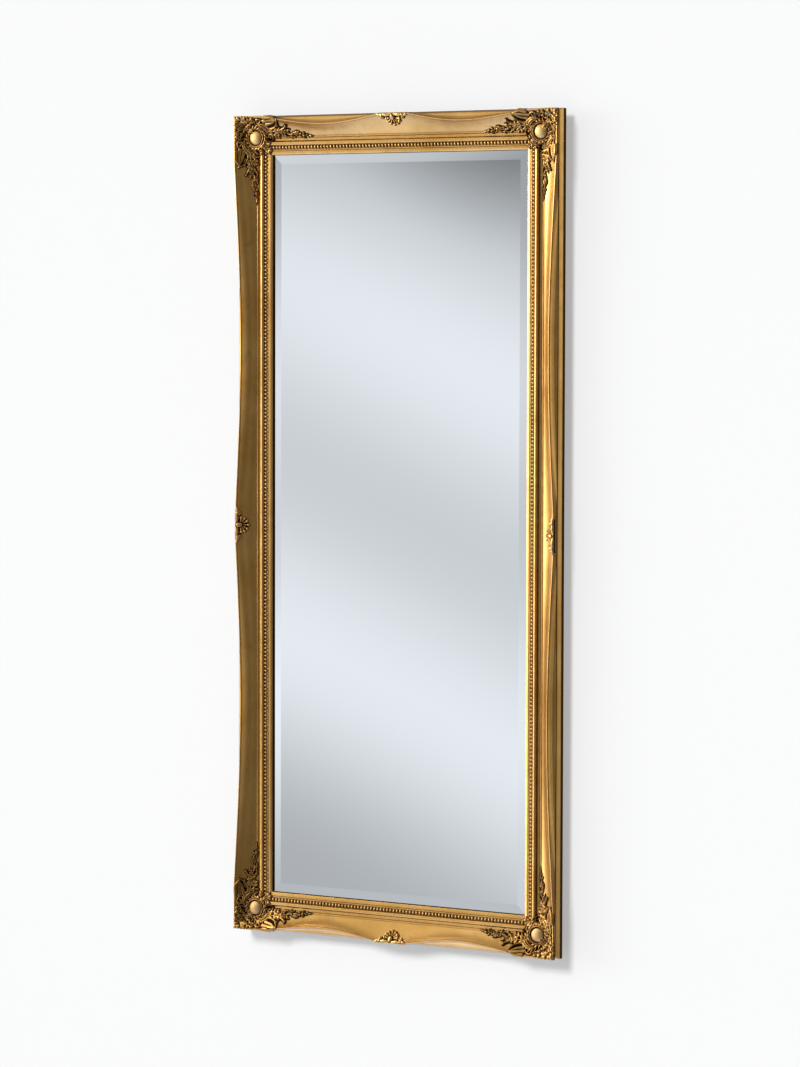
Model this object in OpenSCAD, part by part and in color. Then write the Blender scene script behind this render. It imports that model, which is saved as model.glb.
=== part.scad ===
// Full-length mirror in a swept, gilt composition frame, with a fold-out easel leg on its back.
//
// Frame: +X to the viewer's right, +Y towards the wall, +Z up. The origin is the middle of the
// bottom rail's underside, so the mirror stands on the plane z = 0 and its glass faces -Y.
// The moulding is described by s, the distance outwards from the sight edge, and h, the height
// above the moulding's flat back.

/* [Frame] */
// Overall width of the frame
outer_w = 762; // [640:1:900]
// Overall height of the frame
outer_h = 1676; // [1400:1:1900]
// Width of the moulding, from the sight edge to the outer face
rail_w = 80; // [78:1:84]
// Height of the swept ridge above the moulding's back
ridge_h = 36; // [32:1:40]
// Height of the lip at the sight edge
lip_h = 11; // [10:0.5:12]
// Height of the flat outer face, which the mirror stands on
foot_h = 16; // [12:1:17]

/* [Sweep] */
// Distance from the outer face to the ridge at the corners
corner_in = 2; // [1.5:0.5:4]
// The same at the middle of each side rail
side_mid_in = 5; // [2:0.5:8]
// The same at the middle of the top and bottom rails
end_mid_in = 2.5; // [2:0.5:8]
// How far the ridge of a side rail bows in between those places
side_sweep = 12; // [6:1:15]
// How far the ridge of the top and bottom rails bows in
end_sweep = 17; // [6:1:18]

/* [Mirror plate] */
// Thickness of the silvered plate
glass_t = 5; // [4:0.5:5]
// Width of the ground bevel
bevel_w = 25; // [15:1:35]
// How much thinner the plate is at its edge
bevel_drop = 2; // [1:0.5:2]

/* [Back] */
// Thickness of the hardboard back
board_t = 3; // [2:0.5:4]
// Distance from the frame's outer face to the board's edge
board_inset = 16; // [10:1:20]
// Thickness of the cross batten
batten_t = 18; // [16:1:20]
// Height of the cross batten
batten_h = 60; // [40:5:80]

/* [Leg] */
// Height of the hinge above the floor
hinge_z = 1116; // [900:1:1200]
// Angle that the leg opens to before its head meets the batten
leg_open = 15; // [10:1:20]
// Width of the leg at the hinge
leg_top_w = 110; // [100:1:140]
// Width of the leg at the floor
leg_foot_w = 170; // [120:1:220]
// Thickness of the leg
leg_t = 17; // [15:0.5:17]

/* [Hidden] */

// Places
back_y = foot_h / 2;
sight_w = outer_w - 2 * rail_w;
sight_h = outer_h - 2 * rail_w;
centre_z = outer_h / 2;
board_back_y = back_y + board_t;
batten_back_y = board_back_y + batten_t;

// Moulding
segments = 20;
lip_t = 2.5;
rebate = 8;
scoop_s = 39.5;
scoop_h = lip_h + 1.4;
scoop_angle = 65;
scoop_steps = 5;
torus_s = 23;
torus_r = 3.6;
torus_h = lip_h + 2.7;
channel_s = 15.2;
channel_w = 8;
channel_h = lip_h + 0.2;
bead_r = 3.3;
mid_flat = 30;
end_corner_flat = 75;
side_corner_flat = 100;
glue = 0.3;

// Plate and packing
tape_t = 1;
plate_w = sight_w + 2 * (rebate - 2);
plate_h = sight_h + 2 * (rebate - 2);
plate_h0 = lip_h - lip_t - tape_t - glass_t;

// Hinge
leaf_t = 1.5;
leaf_w = 13;
leaf_gap = 0.3;
hinge_len = 90;
knuckles = 5;
knuckle_r = 3.5;
knuckle_gap = 0.3;
hinge_pin_r = 1.5;
pin_clear = 0.06;
hinge_y = board_back_y + knuckle_r + 0.4;
batten_z = hinge_z + leaf_gap / 2 + leaf_t;
screw_fn = 32;

// Hangers
ring_wire_r = 1.6;
ring_in_r = 12;
ring_drop = 8;
strap_w = 18;
strap_len = 47;
strap_t = 1.5;
strap_holes = [-30, -40];
barrel_r = 3.2;
barrel_len = 16;
hanger_x = outer_w / 2 - rail_w / 2 + 4;
hanger_z = 1340;
ring_y = board_back_y + barrel_r + 0.3;

// ---------------------------------------------------------------- Profile of the moulding

function mix(a, b, t) = a + (b - a) * t;
function clamp01(t) = min(1, max(0, t));

// Distance of the ridge from the sight edge, at a distance along the rail from its middle
function ridge_s(along, half, mid_in, sweep, corner_flat) =
    let (u = clamp01((abs(along) - mid_flat) / (half - corner_flat - mid_flat)))
    rail_w - mix(mid_in, corner_in, u) - sweep * sin(180 * u);

function end_ridge(along) = ridge_s(along, outer_w / 2, end_mid_in, end_sweep, end_corner_flat);
function side_ridge(along) = ridge_s(along, outer_h / 2, side_mid_in, side_sweep, side_corner_flat);

// The scoop rises as an elliptical hollow from the fillet to the ridge
function scoop(ridge, t) = [
    mix(scoop_s, ridge - 1, sin(scoop_angle * t) / sin(scoop_angle)),
    mix(scoop_h, ridge_h - 0.4, (1 - cos(scoop_angle * t)) / (1 - cos(scoop_angle))),
];

// The front of the moulding, [s, h] from the sight edge out to the ridge
function front_points(ridge) = concat(
    [[0, lip_h], [7.4, lip_h - 0.5], [8.4, lip_h + 0.9], [10.6, lip_h + 0.9],
     [channel_s - channel_w / 2, channel_h], [channel_s + channel_w / 2, channel_h]],
    [for (a = [165:-30:15]) [torus_s + torus_r * cos(a), torus_h + torus_r * sin(a)]],
    [[28.5, lip_h + 0.6], [31, lip_h - 0.6], [34.4, lip_h - 0.2], [34.6, lip_h + 1.1], [37, lip_h + 1.1]],
    [for (i = [0:scoop_steps]) scoop(ridge, i / scoop_steps)]
);

// The outer side, from the ridge down to the flat outer face
function side_points(ridge) = concat(
    [[ridge + 0.6, ridge_h], [ridge + 1.4, ridge_h - 0.9]],
    [[mix(ridge + 1.4, rail_w - 2.8, 0.45), mix(ridge_h - 0.9, 25.4, 0.6)],
     [rail_w - 2.8, 25.4], [rail_w - 2.8, 24], [rail_w - 1.4, 23.2], [rail_w - 0.3, 20.4],
     [rail_w - 1.4, 17.6], [rail_w - 2, foot_h + 0.6], [rail_w, foot_h]]
);

function rail_section(ridge) = concat(
    [[rebate, lip_h - lip_t], [0, lip_h - lip_t]],
    front_points(ridge),
    side_points(ridge),
    [[rail_w, 0], [rebate, 0]]
);

// Height of the moulding's front at s
function front_h(s, ridge) =
    s > ridge + 1.4 ? mix(ridge_h - 0.9, 25.4, clamp01((s - ridge - 1.4) / (rail_w - 4.2 - ridge)))
    : lookup(s, concat(front_points(ridge), [[ridge + 0.6, ridge_h], [ridge + 1.4, ridge_h - 0.9]]));

// ---------------------------------------------------------------- Solids from points

// A solid through rings of points that all have the same number of points
module loft(rings) {
    n = len(rings);
    m = len(rings[0]);
    walls = [for (i = [0:n - 2], j = [0:m - 1], half = [0, 1])
        let (a = i * m + j, b = i * m + (j + 1) % m)
        half == 0 ? [a, b, b + m] : [a, b + m, a + m]];
    ends = [[for (j = [m - 1:-1:0]) j], [for (j = [0:m - 1]) (n - 1) * m + j]];
    polyhedron([for (ring = rings, p = ring) p], concat(walls, ends), convexity = 10);
}

// A thin solid between two grids of points
module patch(upper, lower) {
    n = len(upper);
    m = len(upper[0]);
    base = n * m;
    edge = concat(
        [for (i = [0:n - 2]) i * m], [for (j = [0:m - 2]) (n - 1) * m + j],
        [for (i = [n - 1:-1:1]) i * m + m - 1], [for (j = [m - 1:-1:1]) j]
    );
    sheets = [for (i = [0:n - 2], j = [0:m - 2], half = [0, 1])
        let (a = i * m + j, b = a + 1, c = a + m, d = c + 1)
        half == 0 ? [a, c, d] : [a, d, b]];
    rims = [for (k = [0:len(edge) - 1], half = [0, 1])
        let (a = edge[k], b = edge[(k + 1) % len(edge)])
        half == 0 ? [a, a + base, b + base] : [a, b + base, b]];
    faces = concat(sheets, [for (f = sheets) [f[2] + base, f[1] + base, f[0] + base]], rims);
    polyhedron([for (grid = [upper, lower], row = grid, p = row) p], [for (f = faces) [f[2], f[1], f[0]]],
        convexity = 10);
}

// ---------------------------------------------------------------- Places of the rails and corners

// Puts a rail, drawn with X along it, Y = s and Z = h, on one side of the frame
module on_side(turn, reach)
    translate([0, back_y, centre_z]) rotate([0, turn, 0]) translate([0, 0, reach]) rotate([90, 0, 0])
        children();

module on_top() on_side(0, sight_h / 2) children();
module on_right() on_side(90, sight_w / 2) children();
module on_bottom() on_side(180, sight_h / 2) children();
module on_left() on_side(270, sight_w / 2) children();

module mirrored_right() mirror([1, 0, 0]) children();
module mirrored_down() translate([0, 0, outer_h]) mirror([0, 0, 1]) children();

// ---------------------------------------------------------------- Moulding

module rail(sight, along_ridge) {
    loft([for (i = [0:segments])
        let (u = 2 * i / segments - 1, ridge = along_ridge(u * (sight / 2 + 70)))
        [for (p = rail_section(ridge)) [u * (sight / 2 + p[0]), p[0], p[1]]]]);
}

module rail_top() color("goldenrod") on_top() rail(sight_w, function (x) end_ridge(x));
module rail_bottom() color("goldenrod") on_bottom() rail(sight_w, function (x) end_ridge(x));
module rail_left() color("goldenrod") on_left() rail(sight_h, function (x) side_ridge(x));
module rail_right() color("goldenrod") on_right() rail(sight_h, function (x) side_ridge(x));

// A half-round strip with mitred ends, which carries the string of pearls
module bead_strip(sight) {
    length = sight + 2 * rail_w;
    difference() {
        translate([-length / 2, channel_s, channel_h]) rotate([90, 0, 90]) linear_extrude(length)
            intersection() {
                circle(bead_r, $fn = 48);
                translate([-bead_r, 0.05]) square([2 * bead_r, bead_r]);
            }
        for (end = [-1, 1])
            translate([end * sight / 2, 0, 0]) rotate([0, 0, -end * 45])
                translate([end > 0 ? 0 : -length, -length / 2, 0]) cube([length, length, ridge_h]);
    }
}

module bead_top() color("darkgoldenrod") on_top() bead_strip(sight_w);
module bead_bottom() color("darkgoldenrod") on_bottom() bead_strip(sight_w);
module bead_left() color("darkgoldenrod") on_left() bead_strip(sight_h);
module bead_right() color("darkgoldenrod") on_right() bead_strip(sight_h);

// ---------------------------------------------------------------- Castings

// Corner cartouche: a boss with two wings, p and q inwards from the two outer faces
cartouche_at = [39, 39];
cartouche_grid = 12;
function bell(x, width) = exp(-pow(x / width, 2));
function cartouche_reach(a) =
    32 + 34 * bell(a + 17, 17) + 34 * bell(a - 107, 17) + 12 * bell(a - 225, 26) + 12 * bell(a + 135, 26);
function corner_h(p, q) = front_h(rail_w - min(p, q), rail_w - corner_in);
// Height of the casting over the back, by distance inwards from the nearer outer face
function boss_h(depth) = lookup(depth, [[0, 38], [14, 40], [26, 38], [39, 34], [62, 21]]);
function cartouche_point(u, v, upper) =
    let (r = max(abs(u), abs(v)), a = atan2(v, u), reach = r * cartouche_reach(a),
         p = max(1, cartouche_at[0] + reach * cos(a)), q = max(1, cartouche_at[1] + reach * sin(a)),
         seat = corner_h(p, q) + glue, body = max(boss_h(min(p, q)) - seat, 4) * (1 - 0.75 * pow(r, 3)),
         h = upper ? seat + body : seat)
    [p - outer_w / 2, back_y - h, outer_h - q];

module cartouche() color("peru") {
    steps = [for (i = [0:cartouche_grid]) 2 * i / cartouche_grid - 1];
    patch([for (u = steps) [for (v = steps) cartouche_point(u, v, true)]],
          [for (u = steps) [for (v = steps) cartouche_point(u, v, false)]]);
}

module cartouche_top_left() cartouche();
module cartouche_top_right() mirrored_right() cartouche();
module cartouche_bottom_left() mirrored_down() cartouche();
module cartouche_bottom_right() mirrored_down() mirrored_right() cartouche();

// A sprig of husks that trails along the foot of the scoop, away from the corner
sprig_from = 100;
sprig_to = 178;
sprig_s = 45;
sprig_steps = 9;
sprig_side_steps = 3;
module sprig(half, along_ridge) {
    function point(i, j, upper) =
        let (u = i / sprig_steps, w = j / sprig_side_steps, along = half - mix(sprig_from, sprig_to, u),
             s = sprig_s + w * mix(9, 2, u) * (0.8 + 0.2 * cos(1080 * u)),
             seat = front_h(s, along_ridge(along)) + glue,
             h = upper ? seat + 0.6 + mix(4, 2, u) * sqrt(1 - w * w) : seat)
        [-along, s, h];
    patch([for (i = [0:sprig_steps]) [for (j = [-sprig_side_steps:sprig_side_steps]) point(i, -j, true)]],
          [for (i = [0:sprig_steps]) [for (j = [-sprig_side_steps:sprig_side_steps]) point(i, -j, false)]]);
}

// The two sprigs of the top left corner, one on each rail
module sprig_pair() color("peru") {
    on_top() sprig(outer_w / 2, function (x) end_ridge(x));
    on_left() mirror([1, 0, 0]) sprig(outer_h / 2, function (x) side_ridge(x));
}

module sprigs_top_left() sprig_pair();
module sprigs_top_right() mirrored_right() sprig_pair();
module sprigs_bottom_left() mirrored_down() sprig_pair();
module sprigs_bottom_right() mirrored_down() mirrored_right() sprig_pair();

// Shell crest on the ridge at the middle of a rail
crest_half = 36;
crest_steps = 10;
crest_depth = 26;
module crest(along_ridge) {
    ridge = along_ridge(0);
    function point(i, j, upper) =
        let (u = 2 * i / crest_steps - 1, fan = 3 + (crest_depth - 3) * pow(cos(90 * u), 1.4),
             t = j / crest_steps, s = ridge + 0.6 - t * fan, seat = front_h(s, ridge) + glue,
             edge = (1 - pow(abs(u), 4)) * (1 - pow(2 * t - 1, 4)),
             h = upper ? seat + 0.8 + 3.6 * edge : seat)
        [u * crest_half, s, h];
    color("peru")
        patch([for (i = [0:crest_steps]) [for (j = [0:crest_steps]) point(i, j, true)]],
              [for (i = [0:crest_steps]) [for (j = [0:crest_steps]) point(i, j, false)]]);
}

module crest_top() on_top() crest(function (x) end_ridge(x));
module crest_bottom() on_bottom() crest(function (x) end_ridge(x));
module crest_left() on_left() crest(function (x) side_ridge(x));
module crest_right() on_right() crest(function (x) side_ridge(x));

// ---------------------------------------------------------------- Plate and back

// A box from the moulding's back, centred in the frame: width, height, and heights above that back
module slab(w, h, from_h, to_h)
    translate([-w / 2, back_y - to_h, centre_z - h / 2]) cube([w, to_h - from_h, h]);

module mirror_plate() color("lightsteelblue") difference() {
    slab(plate_w, plate_h, plate_h0, plate_h0 + glass_t);
    for (turn = [0:90:270]) {
        reach = (turn % 180 == 0 ? plate_h : plate_w) / 2;
        on_side(turn, reach) translate([-plate_h, -bevel_w, plate_h0 + glass_t])
            rotate([-atan(bevel_drop / bevel_w), 0, 0]) cube([2 * plate_h, bevel_w + 10, glass_t]);
    }
}

// Black foam tape between the lip and the plate's bevel
module glazing_tape() color("black") {
    tape_h = lip_h - lip_t - 6.1;
    for (side = [-1, 1]) {
        translate([side * (sight_w / 2 + 3.5) - 2.5, back_y - lip_h + lip_t, centre_z - sight_h / 2 - 6])
            cube([5, tape_h, sight_h + 12]);
        translate([-sight_w / 2, back_y - lip_h + lip_t, centre_z + side * (sight_h / 2 + 3.5) - 2.5])
            cube([sight_w, tape_h, 5]);
    }
}

module setting_blocks() color("dimgray")
    for (x = [-1, 1])
        translate([x * sight_w / 4 - 15, back_y - plate_h0 - glass_t + 2.2, centre_z - sight_h / 2 - rebate])
            cube([30, glass_t - 2.2, 2]);

module packing_sheet() color("burlywood")
    slab(sight_w + 2 * rebate - 3, sight_h + 2 * rebate - 3, 0, plate_h0);

module back_board() color("saddlebrown")
    translate([-outer_w / 2 + board_inset, back_y, board_inset])
        cube([outer_w - 2 * board_inset, board_t, outer_h - 2 * board_inset]);

// Two V-shaped steel nails across each mitre, driven from the back
nail_t = 0.8;
nail_arm = 7;
nail_depth = 8;
module mitre_nail()
    for (turn = [0, 90])
        rotate([0, turn, 0]) translate([-nail_t / 2, -nail_depth - 0.2, 0])
            cube([nail_t, nail_depth, nail_arm]);

module mitre_nails() color("silver")
    for (x = [-1, 1], z = [-1, 1], s = [24, 56])
        translate([x * (sight_w / 2 + s), back_y, centre_z + z * (sight_h / 2 + s)])
            rotate([0, z > 0 ? (x > 0 ? 180 : 90) : (x > 0 ? 270 : 0), 0]) mitre_nail();

// A pan-head wood screw: its head stands on z = 0 and its shank runs down
module pan_screw(head_r, head_t, shank_r, shank_len) {
    cylinder(h = head_t, r1 = head_r, r2 = head_r * 0.75, $fn = screw_fn);
    translate([0, 0, -shank_len]) cylinder(h = shank_len, r = shank_r, $fn = screw_fn);
}

// Stands a screw on a plane that faces the wall
module from_back(y) translate([0, y, 0]) rotate([-90, 0, 0]) children();

board_screw_in = board_inset + 12;
board_screw_rows = 6;
module board_screws() color("silver") {
    for (side = [-1, 1], i = [0:board_screw_rows])
        translate([side * (outer_w / 2 - board_screw_in), 0,
                   mix(board_screw_in, outer_h - board_screw_in, i / board_screw_rows)])
            from_back(board_back_y) pan_screw(3.6, 1.6, 1.6, 11);
    for (z = [board_screw_in, outer_h - board_screw_in], x = [-1, 1])
        translate([x * outer_w / 8, 0, z]) from_back(board_back_y) pan_screw(3.6, 1.6, 1.6, 11);
}

// ---------------------------------------------------------------- Batten and hinge

batten_half = outer_w / 2 - board_inset - 8;
module cross_batten() color("sienna") difference() {
    translate([-batten_half, board_back_y, batten_z]) cube([2 * batten_half, batten_t, batten_h]);
    translate([-hinge_len / 2 - 2, hinge_y, hinge_z]) rotate([0, 90, 0])
        cylinder(h = hinge_len + 4, r = knuckle_r + 0.8, $fn = 64);
}

batten_screw_x = outer_w / 2 - 40;
module batten_screws() color("silver")
    for (x = [-1, 1], z = [0.25, 0.75])
        translate([x * batten_screw_x, 0, batten_z + z * batten_h])
            from_back(batten_back_y) pan_screw(4.4, 2, 2, batten_t + board_t + 9);

module wall_pads() color("darkgray")
    for (x = [-1, 1])
        translate([x * (batten_screw_x - 30), batten_back_y, batten_z + batten_h / 2]) rotate([-90, 0, 0])
            cylinder(h = 3, r = 10, $fn = 48);

knuckle_len = hinge_len / knuckles;
module knuckle(i) difference() {
    translate([-hinge_len / 2 + i * knuckle_len + knuckle_gap / 2, 0, 0]) rotate([0, 90, 0])
        cylinder(h = knuckle_len - knuckle_gap, r = knuckle_r, $fn = 48);
    translate([-hinge_len, 0, 0]) rotate([0, 90, 0])
        cylinder(h = 2 * hinge_len, r = hinge_pin_r + pin_clear, $fn = 48);
}

leaf_screw_y = knuckle_r + 0.4 + (leaf_w - knuckle_r - 0.4) / 2;
module leaf_screw_places() for (x = [-1:1]) translate([x * hinge_len * 0.36, leaf_screw_y, 0]) children();

// A countersunk screw whose flat head is level with z = 0, and whose point is above
module leaf_screw(slack) {
    cylinder(h = leaf_t, r1 = 3 + slack, r2 = 1.6 + slack, $fn = screw_fn);
    translate([0, 0, leaf_t]) cylinder(h = 12, r = 1.5 + slack, $fn = screw_fn);
}

// A leaf that lies above the hinge line, with its own knuckles and gaps for the others
module hinge_leaf(own) {
    difference() {
        union() {
            translate([-hinge_len / 2, knuckle_r + 0.4, leaf_gap / 2])
                cube([hinge_len, leaf_w - knuckle_r - 0.4, leaf_t]);
            for (i = own)
                translate([-hinge_len / 2 + i * knuckle_len + knuckle_gap / 2, 2, leaf_gap / 2])
                    cube([knuckle_len - knuckle_gap, knuckle_r - 1, leaf_t]);
        }
        translate([0, 0, leaf_gap / 2]) leaf_screw_places() leaf_screw(0.05);
    }
    for (i = own) knuckle(i);
}

module at_hinge() translate([0, hinge_y, hinge_z]) children();
// The leg's half of the hinge, drawn as it is when the leg is fully open
module at_open_leg() at_hinge() rotate([-leg_open, 0, 0]) children();

module hinge_fixed_leaf() color("silver") at_hinge() hinge_leaf([0, 2, 4]);
module hinge_leg_leaf() color("silver") at_open_leg() mirror([0, 0, 1]) hinge_leaf([1, 3]);
module hinge_batten_screws() color("silver")
    at_hinge() translate([0, 0, leaf_gap / 2]) leaf_screw_places() leaf_screw(0);
module hinge_leg_screws() color("silver")
    at_open_leg() mirror([0, 0, 1]) translate([0, 0, leaf_gap / 2]) leaf_screw_places() leaf_screw(0);

module hinge_pin() color("gray") at_hinge() {
    translate([-hinge_len / 2 - 1, 0, 0]) rotate([0, 90, 0])
        cylinder(h = hinge_len + 2, r = hinge_pin_r, $fn = 48);
    for (side = [-1, 1])
        translate([side * (hinge_len / 2 + 1) - 0.6, 0, 0]) rotate([0, 90, 0])
            cylinder(h = 1.2, r = 2.4, $fn = 48);
}

// ---------------------------------------------------------------- Leg

leg_front_y = batten_back_y - leg_t;
foot_t = 6;
foot_clear = 4;
foot_slope = leg_open - 9;
leg_end_z = foot_clear + foot_t + leg_t * tan(foot_slope);

// The leg's outline, seen from behind, down to a given height
module leg_outline(z) {
    half_at = mix(leg_foot_w, leg_top_w, z / hinge_z) / 2;
    translate([0, batten_back_y, 0]) rotate([90, 0, 0]) linear_extrude(leg_t)
        polygon([[-leg_top_w / 2, hinge_z + 4], [leg_top_w / 2, hinge_z + 4], [half_at, z], [-half_at, z]]);
}

// Everything below the sloping end of the leg
module below_foot(z)
    translate([-leg_foot_w, leg_front_y, z]) rotate([-foot_slope, 0, 0])
        translate([0, -50, -100]) cube([2 * leg_foot_w, 150, 100]);

module easel_leg() color("sienna") difference() {
    leg_outline(0);
    at_open_leg() translate([-leg_foot_w, -60, -leaf_gap / 2 - leaf_t]) cube([2 * leg_foot_w, 120, 60]);
    at_hinge() translate([-hinge_len / 2 - 2, 0, 0]) rotate([0, 90, 0])
        cylinder(h = hinge_len + 4, r = knuckle_r + 0.8, $fn = 64);
    below_foot(leg_end_z);
}

module leg_foot() color("dimgray") difference() {
    intersection() {
        leg_outline(0);
        below_foot(leg_end_z);
    }
    below_foot(leg_end_z - foot_t);
}

module leg_foot_pins() color("silver")
    for (x = [-1, 1])
        translate([x * leg_foot_w / 4, leg_front_y + leg_t / 2, leg_end_z - leg_t / 2 * tan(foot_slope) - 2])
            rotate([-foot_slope, 0, 0]) cylinder(h = 16, r = 1.2, $fn = 24);

module leg_wall_pad() color("darkgray")
    translate([0, batten_back_y, 90]) rotate([-90, 0, 0]) cylinder(h = 3, r = 10, $fn = 48);

// ---------------------------------------------------------------- Hangers

module at_hanger(side) translate([side * hanger_x, 0, hanger_z]) children();

module hanger_strap(side) color("silver") at_hanger(side) difference() {
    union() {
        translate([-strap_w / 2, board_back_y, -strap_len]) cube([strap_w, strap_t, strap_len]);
        translate([-barrel_len / 2, board_back_y, -barrel_r]) cube([barrel_len, barrel_r, barrel_r]);
        translate([-barrel_len / 2, ring_y, 0]) rotate([0, 90, 0])
            cylinder(h = barrel_len, r = barrel_r, $fn = 48);
    }
    translate([-strap_w, ring_y, 0]) rotate([0, 90, 0])
        cylinder(h = 2 * strap_w, r = ring_wire_r + pin_clear, $fn = 48);
    for (z = strap_holes)
        translate([0, board_back_y - 1, z]) rotate([-90, 0, 0]) cylinder(h = strap_t + 2, r = 2.1, $fn = 32);
}

module hanger_strap_left() hanger_strap(-1);
module hanger_strap_right() hanger_strap(1);

module hanger_screws() color("silver")
    for (side = [-1, 1], z = strap_holes)
        at_hanger(side) translate([0, 0, z])
            from_back(board_back_y + strap_t) pan_screw(3.8, 1.8, 1.9, board_t + 10);

// A D of round wire: its straight bar turns in the strap's barrel and its bow hangs down
module hanging_ring(side) color("silver") at_hanger(side) translate([0, ring_y, 0]) {
    bow_r = ring_in_r + ring_wire_r;
    translate([-bow_r, 0, 0]) rotate([0, 90, 0]) cylinder(h = 2 * bow_r, r = ring_wire_r, $fn = 48);
    for (x = [-bow_r, bow_r]) {
        translate([x, 0, 0]) sphere(ring_wire_r, $fn = 48);
        translate([x, 0, -ring_drop]) cylinder(h = ring_drop, r = ring_wire_r, $fn = 48);
    }
    translate([0, 0, -ring_drop]) rotate([90, 0, 0]) rotate([0, 0, 180])
        rotate_extrude(angle = 180, $fn = 96) translate([bow_r, 0]) circle(ring_wire_r, $fn = 48);
}

module hanging_ring_left() hanging_ring(-1);
module hanging_ring_right() hanging_ring(1);

// ---------------------------------------------------------------- Nodes

rail_top();
rail_bottom();
rail_left();
rail_right();
bead_top();
bead_bottom();
bead_left();
bead_right();
cartouche_top_left();
cartouche_top_right();
cartouche_bottom_left();
cartouche_bottom_right();
sprigs_top_left();
sprigs_top_right();
sprigs_bottom_left();
sprigs_bottom_right();
crest_top();
crest_bottom();
crest_left();
crest_right();
mirror_plate();
glazing_tape();
setting_blocks();
packing_sheet();
back_board();
mitre_nails();
board_screws();
cross_batten();
batten_screws();
wall_pads();
hinge_fixed_leaf();
hinge_pin();
hinge_batten_screws();
hanger_strap_left();
hanger_strap_right();
hanger_screws();
hanging_ring_left();
hanging_ring_right();
easel_leg();
hinge_leg_leaf();
hinge_leg_screws();
leg_foot();
leg_foot_pins();
leg_wall_pad();
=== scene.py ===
"""A tall bevelled mirror in a swept antique-gold frame, hung upright with its easel leg folded away.

Shapes are worked out in millimetres in the frame's own terms and turned into metres once, when a
mesh is made. A moulding is described by s, the distance outwards from the sight edge, and h, the
height above its flat back. A corner casting uses p and q, the distances inwards from the two outer
faces, so s = rail width - min(p, q).
"""
import math

import bpy
import numpy as np
from mathutils import Matrix, Vector


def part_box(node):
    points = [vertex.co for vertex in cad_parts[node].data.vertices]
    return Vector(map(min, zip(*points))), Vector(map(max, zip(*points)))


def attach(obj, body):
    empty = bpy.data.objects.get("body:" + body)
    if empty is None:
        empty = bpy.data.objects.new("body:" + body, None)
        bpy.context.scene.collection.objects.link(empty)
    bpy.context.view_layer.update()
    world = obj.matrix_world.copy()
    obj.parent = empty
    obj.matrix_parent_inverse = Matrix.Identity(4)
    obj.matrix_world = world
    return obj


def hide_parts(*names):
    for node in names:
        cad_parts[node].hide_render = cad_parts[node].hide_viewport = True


MM = 0.001
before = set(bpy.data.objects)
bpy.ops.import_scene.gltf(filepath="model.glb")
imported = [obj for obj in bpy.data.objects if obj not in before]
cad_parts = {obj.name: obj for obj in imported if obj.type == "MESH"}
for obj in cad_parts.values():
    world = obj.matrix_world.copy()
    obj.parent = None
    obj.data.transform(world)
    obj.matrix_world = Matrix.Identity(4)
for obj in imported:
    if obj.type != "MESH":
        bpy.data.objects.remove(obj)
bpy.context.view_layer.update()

# ---- sizes, from the frame

lo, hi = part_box("rail_left")
top_lo, top_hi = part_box("rail_top")
RAIL_W = (hi.x - lo.x) / MM
OUTER_W = (top_hi.x - top_lo.x) / MM
OUTER_H = (hi.z - lo.z) / MM
RIDGE_H = (hi.y - lo.y) / MM
BACK_Y = hi.y / MM
SIGHT_W = OUTER_W - 2 * RAIL_W
SIGHT_H = OUTER_H - 2 * RAIL_W
CENTRE_Z = OUTER_H / 2

# the moulding's own steps; its side leans in a little more than the plain CAD rail's
LIP_H = 11
FOOT_H = 8.6
REBATE = 8
LIP_T = 2.5
SCOOP_S = 39.5
SCOOP_H = LIP_H + 2.0
SCOOP_START, SCOOP_END = math.radians(22), math.radians(55)
SCOOP_TOP_IN, SCOOP_TOP_DROP = 1, 0.4
CROWN_W, CROWN_DROP = 1.4, 0.9
SLOPE_END_S, SLOPE_END_H = RAIL_W - 5.4, 21.5
SLOPE_RUN, SLOPE_FALL = 1.35, 0.9
TORUS_S, TORUS_H, TORUS_R = 23, LIP_H + 2.7, 3.6
CHANNEL_S, CHANNEL_W, CHANNEL_H = 15.2, 8, LIP_H + 0.2
HIGHEST = RIDGE_H + 4.2

# how far the ridge lies inside the outer face along a rail, with a straight stretch at the middle and
# at each corner; the sweep is read off on a line about where the ridge runs
MID_FLAT = 30
CORNER_IN = 2
RIDGE_LINE_S = 70
END_SWEEP = dict(half=OUTER_W / 2, mid_in=2.5, sweep=17, corner_flat=75)
SIDE_SWEEP = dict(half=OUTER_H / 2, mid_in=5, sweep=14, corner_flat=100)


def mix(a, b, t):
    return a + (b - a) * t


def ridge_s(along, half, mid_in, sweep, corner_flat):
    """Distance of the swept ridge from the sight edge, at a distance along the rail from its middle."""
    u = np.clip((np.abs(along) - MID_FLAT) / (half - corner_flat - MID_FLAT), 0, 1)
    return RAIL_W - mix(mid_in, CORNER_IN, u) - sweep * np.sin(math.pi * u)


def scoop_shape(angle):
    """How far across and how far up the scoop a slope angle comes, each from 0 to 1."""
    across = (np.sin(angle) - math.sin(SCOOP_START)) / (math.sin(SCOOP_END) - math.sin(SCOOP_START))
    up = (math.cos(SCOOP_START) - np.cos(angle)) / (math.cos(SCOOP_START) - math.cos(SCOOP_END))
    return across, up


def scoop_point(ridge, t):
    across, up = scoop_shape(mix(SCOOP_START, SCOOP_END, t))
    return mix(SCOOP_S, ridge - SCOOP_TOP_IN, across), mix(SCOOP_H, RIDGE_H - SCOOP_TOP_DROP, up)


def polar(cx, cy, r, degrees):
    """The point at a distance and an angle from a centre."""
    return cx + r * math.cos(math.radians(degrees)), cy + r * math.sin(math.radians(degrees))


def arc(cx, cy, r, start, end, steps):
    """Points on an arc, angles in degrees."""
    return [polar(cx, cy, r, a) for a in np.linspace(start, end, steps)]


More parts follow.
